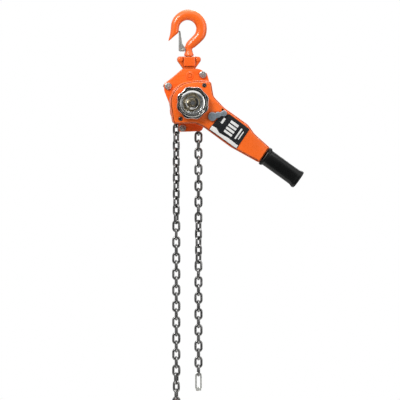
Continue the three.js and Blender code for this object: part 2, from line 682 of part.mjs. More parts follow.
// One link between two points, with the plane of the link turned about its own length.
function link([x1, z1], [x2, z2], twist, share = 1) {
  const along = new THREE.Vector3(x2 - x1, 0, z2 - z1).normalize();
  const facing = new THREE.Vector3(along.z, 0, -along.x);
  const across = facing.applyAxisAngle(along, radians(twist));
  const out = new THREE.Vector3().crossVectors(across, along);
  const middle = new THREE.Vector3((x1 + x2) / 2, 0, (z1 + z2) / 2);
  const straight = REACH - ARM * 0.95;
  const crown = ARM * 0.62;
  const half = [[ARM, -straight], [ARM, straight], [crown, REACH], [-crown, REACH]];
  const loop = [...half, ...half.map(([a, b]) => [-a, -b])];
  const rings = loop.map(([a, b], index) => {
    const before = loop[(index + loop.length - 1) % loop.length];
    const after = loop[(index + 1) % loop.length];
    const normal = new THREE.Vector2(after[1] - before[1], before[0] - after[0]).normalize();
    const place = middle.clone().addScaledVector(across, a).addScaledVector(along, b);
    const side = new THREE.Vector3().addScaledVector(across, normal.x).addScaledVector(along, normal.y);
    return [[1, 0], [0, 1], [-1, 0], [0, -1]].map(([s, t]) => place.clone()
      .addScaledVector(side, s * share * WIRE_EDGE * (Math.abs(normal.y) > 0.8 ? 1.12 : 1))
      .addScaledVector(out, t * share * WIRE_EDGE));
  });
  return skin(rings, true);
}

// How far the chain has twisted about its own length, in degrees, at a link of each fall.
const ramp = (value, from, to) => THREE.MathUtils.clamp((value - from) / (to - from), 0, 1);
const loadTwist = (i) => 45 * (ramp(i, 0, 3) - ramp(i, 13, 17) + ramp(i, 32, 35) - ramp(i, 35, 37));
const tailTwist = (i) => 45 * (ramp(i, 12, 15) - ramp(i, 19, 22));

const liftAt = (joint, breaks) => breaks.filter((end) => joint >= end).length * CHAIN_LIFT;
function fall(hand, from, to, breaks, twist) {
  const joint = (i) => [hand * (i ? FALL_X : WRAP_RADIUS), -PITCH * i];
  const links = [];
  for (let i = from; i < to; i += 1) {
    const lift = liftAt(i, breaks);
    const [x1, z1] = joint(i);
    const [x2, z2] = joint(i + 1);
    const parity = (i % 2 ? 0 : 90) + (hand > 0 ? 90 : 0);
    const share = breaks.some((end) => i === end || i === end - 1) ? HINGE_SHARE : 1;
    links.push(link([x1, z1 + lift], [x2, z2 + lift], parity + twist(i), share));
  }
  return links;
}

const wrap = [0, 1, 2, 3].map((i) => {
  const ends = [180 - 45 * i, 135 - 45 * i].map((angle) => polar(WRAP_RADIUS, angle));
  return link(...ends, i % 2 ? 90 : 0);
});
const loadRun = (from, to) => fall(-1, from, to, [FIXED_LINKS, LOAD_UPPER_END], loadTwist);
const tailRun = (from, to) => fall(1, from, to, [FIXED_LINKS, TAIL_UPPER_END], tailTwist);
const chainPart = (name, links) => part(name, join(...links), chainSteel);
hoist.add(
  chainPart('chain_over_sheave', [...wrap, ...loadRun(0, FIXED_LINKS), ...tailRun(0, FIXED_LINKS)]),
  chainPart('load_chain_upper', loadRun(FIXED_LINKS, LOAD_UPPER_END)),
  chainPart('load_chain_lower', loadRun(LOAD_UPPER_END, LOAD_LINKS)),
  chainPart('tail_chain_upper', tailRun(FIXED_LINKS, TAIL_UPPER_END)),
  chainPart('tail_chain_lower', tailRun(TAIL_UPPER_END, TAIL_LINKS)),
);

// Long end ring that the tail's last link hangs in, with a round stop at its foot.
const RING_WIRE = 2.6;
const ringTop = -PITCH * TAIL_LINKS + 2 * CHAIN_LIFT;
const RING_LENGTH = 46;
const RING_HALF = 7.5;
const ringOuter = rounded([
  [RING_HALF + RING_WIRE, 7 - RING_LENGTH, 9], [RING_HALF + RING_WIRE, 7, 9],
  [-RING_HALF - RING_WIRE, 7, 9], [-RING_HALF - RING_WIRE, 7 - RING_LENGTH, 9],
], 30);
const ringInner = rounded([
  [RING_HALF - RING_WIRE, 9 - RING_LENGTH, 4.5], [RING_HALF - RING_WIRE, 2, 4.5],
  [-RING_HALF + RING_WIRE, 2, 4.5], [-RING_HALF + RING_WIRE, 9 - RING_LENGTH, 4.5],
], 30);
const ringBody = cut(slab(ringOuter, -RING_WIRE, RING_WIRE), slab(ringInner, -10, 10));
const stop = fromYToZ(rod(8, -RING_LENGTH - 4, -RING_LENGTH + 8, SMALL_ROUND));
hoist.add(part('tail_end_ring', at([FALL_X, ringTop], join(ringBody, stop)), zinc));

// ---------- bottom hook ----------
const CHAIN_PIN_RADIUS = 3.1;
const chainPinZ = -PITCH * LOAD_LINKS + 2 * CHAIN_LIFT + CHAIN_PIN_RADIUS + 0.8;
const bottomAssembly = hookAssembly('bottom', 4.8);
bottomAssembly.rotation.y = Math.PI;
bottomAssembly.position.set(-FALL_X, 0, chainPinZ + TOP_PIN_Z);
hoist.add(bottomAssembly);
const chainPin = join(
  rod(CHAIN_PIN_RADIUS, -12.6, 12.6, SMALL_ROUND),
  rod(6.2, -12.6, -5),
  rod(6.2, 5, 12.6),
);
hoist.add(part('bottom_chain_pin', at([-FALL_X, chainPinZ], chainPin), gearSteel));

const group = new THREE.Group();
group.name = 'lever_chain_hoist';
group.add(topAssembly, hoist);

export default group;
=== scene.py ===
import json
import math

import bmesh
import bpy
from mathutils import Matrix, Vector


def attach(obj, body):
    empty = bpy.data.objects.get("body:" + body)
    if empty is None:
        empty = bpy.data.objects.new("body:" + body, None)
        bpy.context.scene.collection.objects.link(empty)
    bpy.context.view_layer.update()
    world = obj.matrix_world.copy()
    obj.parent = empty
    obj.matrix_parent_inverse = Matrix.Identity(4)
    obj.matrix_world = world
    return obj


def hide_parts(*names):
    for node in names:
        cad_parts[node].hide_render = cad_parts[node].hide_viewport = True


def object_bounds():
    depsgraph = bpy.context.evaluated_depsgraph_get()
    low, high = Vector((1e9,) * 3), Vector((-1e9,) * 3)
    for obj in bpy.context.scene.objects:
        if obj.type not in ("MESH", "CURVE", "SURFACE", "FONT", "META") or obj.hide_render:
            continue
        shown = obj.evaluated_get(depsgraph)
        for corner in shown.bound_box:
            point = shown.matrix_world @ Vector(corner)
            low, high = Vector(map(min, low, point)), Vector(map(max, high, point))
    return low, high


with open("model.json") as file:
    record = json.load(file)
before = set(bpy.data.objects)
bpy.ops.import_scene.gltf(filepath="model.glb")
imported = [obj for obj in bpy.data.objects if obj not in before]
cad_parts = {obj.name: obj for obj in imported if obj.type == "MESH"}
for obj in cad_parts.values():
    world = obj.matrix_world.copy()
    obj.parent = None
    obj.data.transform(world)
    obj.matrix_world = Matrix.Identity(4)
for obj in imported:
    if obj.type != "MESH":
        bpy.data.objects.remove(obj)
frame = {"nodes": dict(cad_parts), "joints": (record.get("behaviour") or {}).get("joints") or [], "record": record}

CAD_BOX = [list(corner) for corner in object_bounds()]
MM = 0.001

# ---------- places from the imported record, and the lever's given turn ---
JOINTS = {joint["name"]: joint for joint in frame["joints"]}
SLOTS = {row["node"]: row["material_slot"] for row in frame["record"]["subparts"]}
BODIES = frame["record"]["behaviour"]["bodies"]
BODY_OF = {node: body for body, nodes in BODIES.items() for node in nodes}
SHAFT = Vector(JOINTS["drive_spin"]["pos_m"])
TOP_PIN = Vector(JOINTS["frame_tilt"]["pos_m"])
BOTTOM_PIN = Vector(JOINTS["bottom_yoke_swing"]["pos_m"])
LEVER_TURN = math.radians(35.7)

UPRIGHT = Matrix.Identity(4)
AT_SHAFT = Matrix.Translation(SHAFT)
ON_LEVER = AT_SHAFT @ Matrix.Rotation(LEVER_TURN, 4, "Y")
BOTTOM_UP = Matrix.Translation(BOTTOM_PIN + Vector((0, 0, TOP_PIN.z))) @ Matrix.Rotation(math.pi, 4, "Y")


# ---------- materials ----------
class Look:
    """One procedural finish: grain, bump, colour variation, edges worn to another colour and, if asked, painted shade
    that darkens its creases.
    """

    def __init__(self, name, colour, roughness, metallic, **more):
        self.material = bpy.data.materials.new(name)
        self.material.use_nodes = True
        self.tree = self.material.node_tree
        self.shader = self.tree.nodes["Principled BSDF"]
        self.shader.inputs["Metallic"].default_value = metallic
        self.shader.inputs["Coat Weight"].default_value = more.get("coat", 0)
        self.shader.inputs["Coat Roughness"].default_value = 0.08
        self.build(colour, roughness, **more)

    def node(self, kind, **inputs):
        made = self.tree.nodes.new(kind)
        for key, value in inputs.items():
            made.inputs[key.replace("_", " ")].default_value = value
        return made

    def link(self, source, target):
        self.tree.links.new(source, target)

    def noise(self, scale, detail, place):
        made = self.node("ShaderNodeTexNoise", Scale=scale, Detail=detail)
        self.link(place, made.inputs["Vector"])
        return made.outputs["Fac"]

    def spread(self, value, low, high, to_low, to_high):
        made = self.node("ShaderNodeMapRange")
        for key, number in zip(("From Min", "From Max", "To Min", "To Max"), (low, high, to_low, to_high)):
            made.inputs[key].default_value = number
        self.link(value, made.inputs["Value"])
        return made.outputs["Result"]

    def mixed(self, share, first, second):
        made = self.tree.nodes.new("ShaderNodeMix")
        made.data_type = "RGBA"
        self.link(share, made.inputs["Factor"])
        for socket, value in ((made.inputs["A"], first), (made.inputs["B"], second)):
            if isinstance(value, tuple):
                socket.default_value = (*value, 1)
            else:
                self.link(value, socket)
        return made.outputs["Result"]

    def build(self, colour, roughness, cloud=18, cloud_dark=0.82, grain=900, bump=0.06, worn=None,
              wear=0.5, rough_spread=0.12, painted_crease_shade=None, coat=0, specular=0.5):
        self.shader.inputs["Specular IOR Level"].default_value = specular
        place = self.tree.nodes.new("ShaderNodeTexCoord").outputs["Object"]
        clouds = self.noise(cloud, 4, place)
        fine = self.noise(grain, 5, place)
        dark = tuple(channel * cloud_dark for channel in colour)
        tint = self.mixed(self.spread(clouds, 0.38, 0.62, 0, 1), dark, colour)
        rough = self.spread(fine, 0.3, 0.7, max(0.02, roughness - rough_spread), roughness + rough_spread)
        if worn:
            point = self.tree.nodes.new("ShaderNodeNewGeometry").outputs["Pointiness"]
            edge = self.spread(point, 0.53, 0.6, 0, wear)
            patchy = self.tree.nodes.new("ShaderNodeMath")
            patchy.operation = "MULTIPLY"
            self.link(edge, patchy.inputs[0])
            self.link(self.spread(self.noise(cloud * 9, 3, place), 0.4, 0.6, 0, 1), patchy.inputs[1])
            tint = self.mixed(patchy.outputs["Value"], tint, worn)
        # Painted shade: where ambient occlusion finds a crease or recess, the base colour is darkened towards 0.12 of
        # itself.
        if painted_crease_shade:
            occlusion_shade = self.tree.nodes.new("ShaderNodeAmbientOcclusion")
            occlusion_shade.inputs["Distance"].default_value = 0.009
            occlusion_shade.samples = 8
            painted_shade = self.spread(occlusion_shade.outputs["AO"], 0.35, 0.85, 1 - painted_crease_shade, 0)
            tint = self.mixed(painted_shade, tint, tuple(channel * 0.12 for channel in colour))
        self.link(tint, self.shader.inputs["Base Color"])
        self.link(rough, self.shader.inputs["Roughness"])
        relief = self.node("ShaderNodeBump", Strength=bump, Distance=0.0004)
        self.link(fine, relief.inputs["Height"])
        self.link(relief.outputs["Normal"], self.shader.inputs["Normal"])


# The crease shares below set how much painted shade darkens each finish's creases and recesses.
LOOKS = {
    "orange_paint": Look("orange_paint", (1.0, 0.16, 0.017), 0.3, 0, cloud_dark=0.9, grain=420, bump=0.1,
                         worn=(0.75, 0.3, 0.16), wear=0.4, coat=0.45, painted_crease_shade=0.15),
    "chrome_plate": Look("chrome_plate", (0.86, 0.86, 0.84), 0.08, 1, cloud_dark=0.93, grain=260, bump=0.03,
                         worn=(0.62, 0.6, 0.56), wear=0.3, rough_spread=0.05),
    "zinc_plate": Look("zinc_plate", (0.76, 0.77, 0.73), 0.24, 0.7, cloud=60, cloud_dark=0.7, grain=700, bump=0.1,
                       worn=(0.85, 0.85, 0.83), wear=0.5, painted_crease_shade=0.35),
    "chain_steel": Look("chain_steel", (0.27, 0.268, 0.262), 0.2, 0.92, cloud=60, cloud_dark=0.45, grain=1200,
                        bump=0.12, worn=(0.5, 0.5, 0.5), wear=0.8, painted_crease_shade=0.1),
    "gear_steel": Look("gear_steel", (0.3, 0.31, 0.32), 0.32, 0.95, grain=800, bump=0.1,
                       worn=(0.5, 0.5, 0.5), wear=0.5),
    "bearing_bronze": Look("bearing_bronze", (0.34, 0.29, 0.2), 0.34, 0.9, cloud=90, cloud_dark=0.6, grain=900,
                           bump=0.12, worn=(0.6, 0.52, 0.36), wear=0.6),
    "friction_lining": Look("friction_lining", (0.1, 0.06, 0.04), 0.85, 0, grain=1500, bump=0.5),
    "black_rubber": Look("black_rubber", (0.007, 0.0075, 0.0075), 0.24, 0, cloud_dark=0.7, grain=1300, bump=0.16,
                         worn=(0.04, 0.04, 0.04), wear=0.5, rough_spread=0.05, specular=0.3),
    "capacity_label": Look("capacity_label", (0.012, 0.013, 0.015), 0.3, 0, grain=500, bump=0.05, coat=0.3,
                           worn=(0.08, 0.08, 0.08), wear=0.4),
}
PRINT_WHITE = Look("print_white", (0.8, 0.8, 0.78), 0.4, 0, cloud=70, cloud_dark=0.93, grain=700, bump=0.04)
PAINTED_ZINC = Look("selector_grey", (0.33, 0.39, 0.44), 0.35, 0.6, grain=700, bump=0.08,
                    worn=(0.6, 0.62, 0.63), wear=0.5)

for node, cad_object in frame["nodes"].items():
    cad_object.data.materials.clear()
    cad_object.data.materials.append(LOOKS[SLOTS[node]].material)


# ---------- building pieces ----------
def new_object(name, mesh, look):
    made = bpy.data.objects.new(name, mesh)
    bpy.context.scene.collection.objects.link(made)
    made.data.materials.clear()
    made.data.materials.append(look.material)
    return made


def smooth(obj, degrees=35):
    """Shades the piece smooth, with sharp edges kept where faces meet at more than the angle."""
    obj.data.shade_smooth()
    obj.data.set_sharp_from_angle(angle=math.radians(degrees))
    return obj


def applied(obj):
    """The piece with its modifiers made part of its mesh."""
    graph = bpy.context.evaluated_depsgraph_get()
    mesh = bpy.data.meshes.new_from_object(obj.evaluated_get(graph))
    old = obj.data
    obj.modifiers.clear()
    obj.data = mesh
    bpy.data.meshes.remove(old)
    return obj


def stand_for(obj, *nodes, slot=None):
    """Puts a finished piece on the body of the CAD nodes that it stands for."""
    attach(obj, BODY_OF[nodes[0]])
    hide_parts(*nodes)
    return obj


def mesh_from(name, vertices, faces, look, place=UPRIGHT):
    mesh = bpy.data.meshes.new(name)
    mesh.from_pydata([place @ (Vector(v) * MM) for v in vertices], [], faces)
    made = new_object(name, mesh, look)
    shape = bmesh.new()
    shape.from_mesh(mesh)
    bmesh.ops.recalc_face_normals(shape, faces=shape.faces)
    shape.to_mesh(mesh)
    shape.free()
    return made


def joined(name, pieces):
    """Several meshes as one object, with the first one's material."""
    shape = bmesh.new()
    for piece in pieces:
        shape.from_mesh(piece.data)
    mesh = bpy.data.meshes.new(name)
    shape.to_mesh(mesh)
    shape.free()
    material = pieces[0].data.materials[0]
    for piece in pieces:
        bpy.data.objects.remove(piece)
    mesh.materials.append(material)
    made = bpy.data.objects.new(name, mesh)
    bpy.context.scene.collection.objects.link(made)
    return made


def combine(first, kind, *others):
    """Boolean DIFFERENCE or UNION of solids; the others are used up."""
    for other in others:
        modifier = first.modifiers.new("boolean", "BOOLEAN")
        modifier.operation = kind
        modifier.solver = "EXACT"
        modifier.object = other
        applied(first)
        bpy.data.objects.remove(other)
    return first


def rounded(corners, step=7.5):
    """Points of a polygon of [x, z, radius] corners, given anticlockwise, with round corners."""
    points = []
    for index, (x, z, radius) in enumerate(corners):
        here = Vector((x, z))
        back = (Vector(corners[index - 1][:2]) - here).normalized()
        onward = (Vector(corners[(index + 1) % len(corners)][:2]) - here).normalized()
        half = back.angle(onward) / 2
        if radius < 0.1 or half > 1.55:
            points.append(here)
            continue
        centre = here + (back + onward).normalized() * (radius / math.sin(half))
        start = here + back * (radius / math.tan(half)) - centre
        end = here + onward * (radius / math.tan(half)) - centre
        turn = math.atan2(start.x * end.y - start.y * end.x, start.dot(end))
        steps = max(2, round(abs(turn) / math.radians(step)))
        for i in range(steps + 1):
            angle = turn * i / steps
            spun = Vector((start.x * math.cos(angle) - start.y * math.sin(angle),
                           start.x * math.sin(angle) + start.y * math.cos(angle)))
            points.append(centre + spun)
    return points


def inset(corners, distance):
    """The same polygon with every edge moved inwards."""
    lines = []
    for index, (x, z, _) in enumerate(corners):
        along = (Vector(corners[(index + 1) % len(corners)][:2]) - Vector((x, z))).normalized()
        lines.append((Vector((x - along.y * distance, z + along.x * distance)), along))
    moved = []
    for index, corner in enumerate(corners):
        (foot, first), (other, second) = lines[index - 1], lines[index]
        cross = first.x * second.y - first.y * second.x
        between = other - foot
        meet = foot + first * ((between.x * second.y - between.y * second.x) / cross)
        radius = corner[2] + (-distance if cross > 0 else distance)
        moved.append((meet.x, meet.y, max(0.2, radius)))
    return moved


def circle(x, z, radius, count=64):
    turns = [2 * math.pi * i / count for i in range(count)]
    return [Vector((x + radius * math.cos(a), z + radius * math.sin(a))) for a in turns]


def capsule(first, second, radius, count=20):
    (x1, z1), (x2, z2) = first, second
    heading = math.atan2(z2 - z1, x2 - x1)
    points = []
    for x, z, start in ((x2, z2, heading - math.pi / 2), (x1, z1, heading + math.pi / 2)):
        for i in range(count + 1):
            angle = start + math.pi * i / count
            points.append(Vector((x + radius * math.cos(angle), z + radius * math.sin(angle))))
    return points


def plate(name, outlines, low, high, look, bevel=0.6, place=UPRIGHT):
    """A flat piece in the XZ plane, from y = low to high, with rounded rims. The first outline is
    its edge and the rest are its holes."""
    curve = bpy.data.curves.new(name, "CURVE")
    curve.dimensions = "2D"
    curve.fill_mode = "BOTH"
    curve.bevel_depth = bevel * MM
    curve.bevel_resolution = 2
    curve.offset = -bevel * MM
    curve.extrude = ((high - low) / 2 - bevel) * MM
    for outline in outlines:
        spline = curve.splines.new("POLY")
        spline.points.add(len(outline) - 1)
        for point, corner in zip(spline.points, outline):
            point.co = (corner.x * MM, corner.y * MM, 0, 1)
        spline.use_cyclic_u = True
    temporary = bpy.data.objects.new(name, curve)
    bpy.context.scene.collection.objects.link(temporary)
    graph = bpy.context.evaluated_depsgraph_get()
    mesh = bpy.data.meshes.new_from_object(temporary.evaluated_get(graph))
    bpy.data.objects.remove(temporary)
    bpy.data.curves.remove(curve)
    shape = bmesh.new()
    shape.from_mesh(mesh)
    bmesh.ops.remove_doubles(shape, verts=shape.verts, dist=1e-6)
    bmesh.ops.recalc_face_normals(shape, faces=shape.faces)
    shape.to_mesh(mesh)
    shape.free()
    stand = Matrix.Translation((0, (low + high) / 2 * MM, 0)) @ Matrix.Rotation(math.pi / 2, 4, "X")
    mesh.transform(place @ stand)
    return smooth(new_object(name, mesh, look))


def turned(name, profile, look, centre=(0, 0), place=UPRIGHT, count=96, upright=False):
    """A piece turned about the Y axis (or Z if upright) from points of (radius, height)."""
    rings = []
    vertices, faces = [], []
    for radius, height in profile:
        if radius < 1e-6:
            spots = [(0, 0)]
        else:
            turns = [2 * math.pi * i / count for i in range(count)]
            spots = [(radius * math.cos(a), radius * math.sin(a)) for a in turns]
        ring = []
        for a, b in spots:
            ring.append(len(vertices))
            if upright:
                vertices.append((a + centre[0], b, height + centre[1]))
            else:
                vertices.append((a + centre[0], height, b + centre[1]))
        rings.append(ring)
    closed = profile[0][0] > 1e-6
    for index in range(len(rings) if closed else len(rings) - 1):
        low, high = rings[index], rings[(index + 1) % len(rings)]
        for i in range(count):
            j = (i + 1) % count
            corners = [low[i % len(low)], low[j % len(low)], high[j % len(high)], high[i % len(high)]]
            faces.append(list(dict.fromkeys(corners)))
    return smooth(mesh_from(name, vertices, faces, look, place))


def soft_profile(corners, step=15):
    """A turned piece's closed profile from (radius, y, corner radius) corners."""
    area = sum(a[0] * b[1] - b[0] * a[1] for a, b in zip(corners, corners[1:] + corners[:1]))
    ordered = corners if area > 0 else corners[::-1]
    return [(point.x, point.y) for point in rounded(ordered, step)]


def spline_through(rows, steps):
    """Rows of numbers with smooth (Catmull-Rom) rows between them."""
    out = []
    for index in range(len(rows) - 1):
        a = rows[max(index - 1, 0)]
        b, c = rows[index], rows[index + 1]
        d = rows[min(index + 2, len(rows) - 1)]
        for i in range(steps):
            t = i / steps
            out.append([0.5 * (2 * q + (r - p) * t + (2 * p - 5 * q + 4 * r - s) * t * t
                               + (3 * q - p - 3 * r + s) * t ** 3)
                        for p, q, r, s in zip(a, b, c, d)])
    return out + [list(rows[-1])]


def ring_skin(name, rings, look, place=UPRIGHT, closed=False):
    count = len(rings[0])
    vertices = [v for ring in rings for v in ring]
    faces = []
    for index in range(len(rings) if closed else len(rings) - 1):
        low, high = index * count, ((index + 1) % len(rings)) * count
        for i in range(count):
            j = (i + 1) % count
            faces.append([low + i, low + j, high + j, high + i])
    if not closed:
        faces.append(list(range(count))[::-1])
        faces.append([len(vertices) - count + i for i in range(count)])
    return smooth(mesh_from(name, vertices, faces, look, place), 60)


def forging(name, sections, look, place=UPRIGHT, count=28):
    """A smooth forging through sections of (x, z, half width, half thickness, direction)."""
    rings = []
    for x, z, half, thick, direction in spline_through(sections, 4):
        across = (math.cos(math.radians(direction)), math.sin(math.radians(direction)))
        ring = []
        for i in range(count):
            angle = 2 * math.pi * i / count
            width = half * math.copysign(abs(math.cos(angle)) ** 0.9, math.cos(angle))
            ring.append((x + across[0] * width, thick * math.sin(angle), z + across[1] * width))
        rings.append(ring)
    return ring_skin(name, rings, look, place)


def remeshed(obj, voxel, rounds=4):
    """Solids that overlap, blended into one skin as a forging or casting is."""
    remesh = obj.modifiers.new("remesh", "REMESH")
    remesh.mode = "VOXEL"
    remesh.voxel_size = voxel * MM
    relax = obj.modifiers.new("relax", "SMOOTH")
    relax.factor = 0.5
    relax.iterations = rounds
    applied(obj)
    obj.data.shade_smooth()
    return obj


# ---------- hooks ----------
BOWL = (-4, -26)
BOWL_RADIUS = 26
LATCH = (-19.3, -88)
ORANGE = LOOKS["orange_paint"]
ZINC = LOOKS["zinc_plate"]
STEEL = LOOKS["gear_steel"]


def polar(radius, degrees):
    return radius * math.cos(math.radians(degrees)), radius * math.sin(math.radians(degrees))


def hook_piece(name, place):
    widths = [(180, 12.3), (157, 13), (135, 14), (112, 15), (90, 16), (67, 16.3), (45, 16.5),
              (22, 16.3), (0, 16), (-22, 16), (-42, 15)]
    bowl = []
    for angle, half in widths:
        x, z = polar(BOWL_RADIUS + half, angle)
        bowl.append((BOWL[0] + x, BOWL[1] + z, half, 12, angle))
    tip = [(-60, -61, 2, 4, 205), (-52, -50.5, 8.5, 8, 200), (-44.3, -39.5, 12.8, 11, 192)]
    neck = [(13, -66, 14.5, 12, -54), (3.5, -76, 13.5, 11.5, -25), (0, -85, 10.4, 10.4, 0),
            (0, -93, 11, 11, 0), (0, -101, 14, 14, 0), (0, -106.3, 14.5, 14.5, 0)]
    body = forging(name, tip + bowl + neck, ORANGE, place)
    lug = plate(name + "_lug", [capsule(LATCH, (-4, -80), 5.3)], -4.4, 4.4, ORANGE, 1, place)
    shank = turned(name + "_shank", [(0, -105), (9.4, -105), (9.4, -119.6), (13.3, -119.8), (13.3, -130.6),
                                     (0, -130.8)], ORANGE, place=place, upright=True)
    return remeshed(joined(name, [body, lug, shank]), 1.25)


def latch_piece(name, place):
    """A pressed latch: two cheeks joined by a back."""
    x, z = LATCH
    cheeks = []
    outline = rounded([(x + 7.9, z - 4.9, 4), (x + 7.9, z + 4, 5), (x - 1.6, z + 19, 14),
                       (x - 7.2, z + 56.8, 0.8), (x - 10.3, z + 56.8, 0.8), (x - 10.7, z - 4.9, 4)])
    for low, high in ((-7, -5.4), (5.4, 7)):
        cheeks.append(plate(name + "_cheek", [outline, circle(x, z, 2.5, 24)], low, high, ZINC, 0.3, place))
    back = rounded([(x - 8.8, z + 11, 0.3), (x - 8.4, z + 52, 0.5), (x - 7.2, z + 56.7, 0.8),
                    (x - 10.3, z + 56.7, 0.8), (x - 10.6, z + 11, 0.3)])
    cheeks.append(plate(name + "_back", [back], -6.9, 6.9, ZINC, 0.3, place))
    return joined(name, cheeks)


def pin_piece(name, place):
    profile = soft_profile([(0.01, -9.2, 0), (3.5, -9.2, 1), (3.5, -7.7, 0.5), (2.2, -7.6, 0), (2.2, 11.8, 0.7),
                            (0.01, 11.8, 0)])
    return turned(name, profile, ZINC, LATCH, place, 24)


def wire_piece(name, points, radius, look, place=UPRIGHT, closed=False, count=10):
    """Round wire along points in millimetres."""
    rings = []
    total = len(points)
    vectors = [Vector(p) for p in points]
    reference = None
    for index, point in enumerate(vectors):
        after = vectors[(index + 1) % total] if closed or index < total - 1 else point
        before = vectors[index - 1] if closed or index > 0 else point
        along = (after - before).normalized()
        if reference is None:
            reference = along.orthogonal().normalized()
        reference = (reference - along * reference.dot(along)).normalized()
        other = along.cross(reference)
        rings.append([point + radius * (reference * math.cos(a) + other * math.sin(a))
                      for a in (2 * math.pi * i / count for i in range(count))])
    return ring_skin(name, rings, look, place, closed)


def latch_spring(name, place):
    """Torsion coil round the latch's pin, with a leg at its start."""
    x, z = LATCH
    points = [(x - 6, 8.2, z + 13), (x - 4.5, 8.2, z + 6)]
    turns, steps = 2.5, 60
    for i in range(steps + 1):
        angle = math.pi + i / steps * turns * 2 * math.pi
        points.append((x + 3.6 * math.cos(angle), 8.3 + 3 * i / steps, z + 3.6 * math.sin(angle)))
    return wire_piece(name, points, 0.5, ZINC, place, count=8)


EAR = (26, -117)
YOKE_TOP, SHOULDER = -108, -136.5


def yoke_half(name, side, slot, place):
    """A forged yoke half: a rounded chamber round the hook's head, ears for the rivets, and the
    tongue that its pin goes through."""
    pin_z = TOP_PIN.z / MM
    chamber = plate(name, [rounded([(17, YOKE_TOP, 5), (-17, YOKE_TOP, 5), (-18.2, SHOULDER, 3),
                                    (18.2, SHOULDER, 3)])], 0.2, 17.3, ORANGE, 2.5, place)
    web = rounded([(34.8, YOKE_TOP, 8.5), (-34.8, YOKE_TOP, 8.5), (-34.8, -121, 7), (-17, -145.2, 4),
                   (17, -145.2, 4), (34.8, -121, 7)])
    ears = plate(name + "_ears", [web], 0.2, 9.9, ORANGE, 1.6, place)
    tongue = plate(name + "_tongue", [rounded([(17, SHOULDER + 3, 0), (-17, SHOULDER + 3, 0),
                   (-12, pin_z - 11.4, 11), (12, pin_z - 11.4, 11)])], slot, 11.9, ORANGE, 1, place)
    cutters = [
        turned("bore", [(0, -100), (10.2, -100), (10.2, -119.2), (14.2, -119.3), (14.2, -131.6), (0, -131.7)],
               ORANGE, place=place, upright=True, count=48),
        turned("pin_bore", [(0, -1), (6.5, -1), (6.5, 30), (0, 30)], ORANGE, (0, pin_z), place, 40),
    ]
    for hand in (-1, 1):
        cutters.append(turned("ear_bore", [(0, -1), (3.7, -1), (3.7, 30), (0, 30)], ORANGE,
                              (hand * EAR[0], EAR[1]), place, 32))
    half = combine(chamber, "UNION", ears, tongue)
    half = combine(half, "DIFFERENCE", *cutters)
    if side < 0:
        around = place @ Matrix.Scale(-1, 4, (0, 1, 0)) @ place.inverted()
        half.data.transform(around)
        half.data.flip_normals()
    return smooth(half, 40)


def rivet_piece(name, hand, place):
    corners = [(0.01, -12.7, 0), (7.2, -12.7, 2.2), (7.2, -10.2, 0.3), (3.5, -10.2, 0), (3.5, 10.2, 0),
               (7.2, 10.2, 0.3), (7.2, 12.7, 2.2), (0.01, 12.7, 0)]
    return turned(name, soft_profile(corners), ORANGE, (hand * EAR[0], EAR[1]), place, 40)


def hook_assembly(prefix, place, slot):
    stand_for(hook_piece(prefix + "_hook_forging", place), prefix + "_hook")
    stand_for(latch_piece(prefix + "_latch_pressing", place), prefix + "_latch")
    stand_for(pin_piece(prefix + "_latch_axle", place), prefix + "_latch_pin")
    for side, word in ((-1, "front"), (1, "rear")):
        stand_for(yoke_half(f"{prefix}_yoke_{word}_forging", side, slot, place), f"{prefix}_yoke_{word}")
    for hand, word in ((-1, "left"), (1, "right")):
        stand_for(rivet_piece(f"{prefix}_rivet_{word}_domed", hand, place), f"{prefix}_rivet_{word}")


hook_assembly("top", UPRIGHT, 0.2)
hook_assembly("bottom", BOTTOM_UP, 4.85)
stand_for(latch_spring("top_latch_coil", UPRIGHT), "top_latch_spring")


# ---------- frame ----------
PLATE_IN, PLATE_OUT = 16, 20
STAYS = {"left": (-60.5, 46.8), "right": (43.5, 80.5), "lower": (-17.5, -78)}
PLATE = [(22, 98, 6), (-16, 98, 6), (-44, 74.5, 20), (-73, 52, 9), (-72, 33, 12), (-47, -30, 30),
         (-50, -56, 8), (-29, -60, 6), (-29, -90, 8), (40, -88, 10), (62, -40, 30), (66, 50, 20),
         (56, 85, 12), (34, 97, 14)]
GEAR_PLATE = [(x + 5 if x < -10 else x, z, radius) for x, z, radius in PLATE]
PIN = (4.6, 77)
ANGLES_OF_DISCS = {"upper": 70, "lower": 250}
ANGLES_OF_PAWLS = {"upper": 112, "lower": 292}


def anticlockwise(points):
    area = sum(a[0] * b[1] - b[0] * a[1] for a, b in zip(points, points[1:] + points[:1]))
    return points if area > 0 else points[::-1]


def side_plate(name, corners, low, high, more_holes):
    holes = [circle(*PIN, 6.6, 40), circle(0, 0, 21)]
    holes += [circle(*place, 4.8, 32) for place in STAYS.values()] + more_holes
    return plate(name, [rounded(anticlockwise(corners))] + holes, low, high, ORANGE, 0.9, AT_SHAFT)


ratchet_plate = side_plate("ratchet_plate_pressing", PLATE, -PLATE_OUT, -PLATE_IN, [])
studs = [turned("pawl_stud", [(0, -41.8), (3.2, -41.8), (3.2, -PLATE_OUT), (0, -PLATE_OUT)], ORANGE,
                polar(45, angle), AT_SHAFT, 24) for angle in ANGLES_OF_PAWLS.values()]
boss = turned("pin_boss", soft_profile([(6.6, -PLATE_OUT + 0.2, 0), (6.6, -21.6, 0.3), (11, -21.6, 0.8),
              (12.5, -PLATE_OUT + 0.2, 0)]), ORANGE, PIN, AT_SHAFT, 48)
stand_for(joined("ratchet_plate_pressing", [ratchet_plate, boss, *studs]), "ratchet_side_plate")
stand_for(side_plate("gear_plate_pressing", GEAR_PLATE, PLATE_IN, PLATE_OUT, []), "gear_side_plate")


def hexagon(x, z, radius, turn=0):
    return [Vector((x + radius * math.cos(math.radians(turn + 60 * i)),
                    z + radius * math.sin(math.radians(turn + 60 * i)))) for i in range(6)]


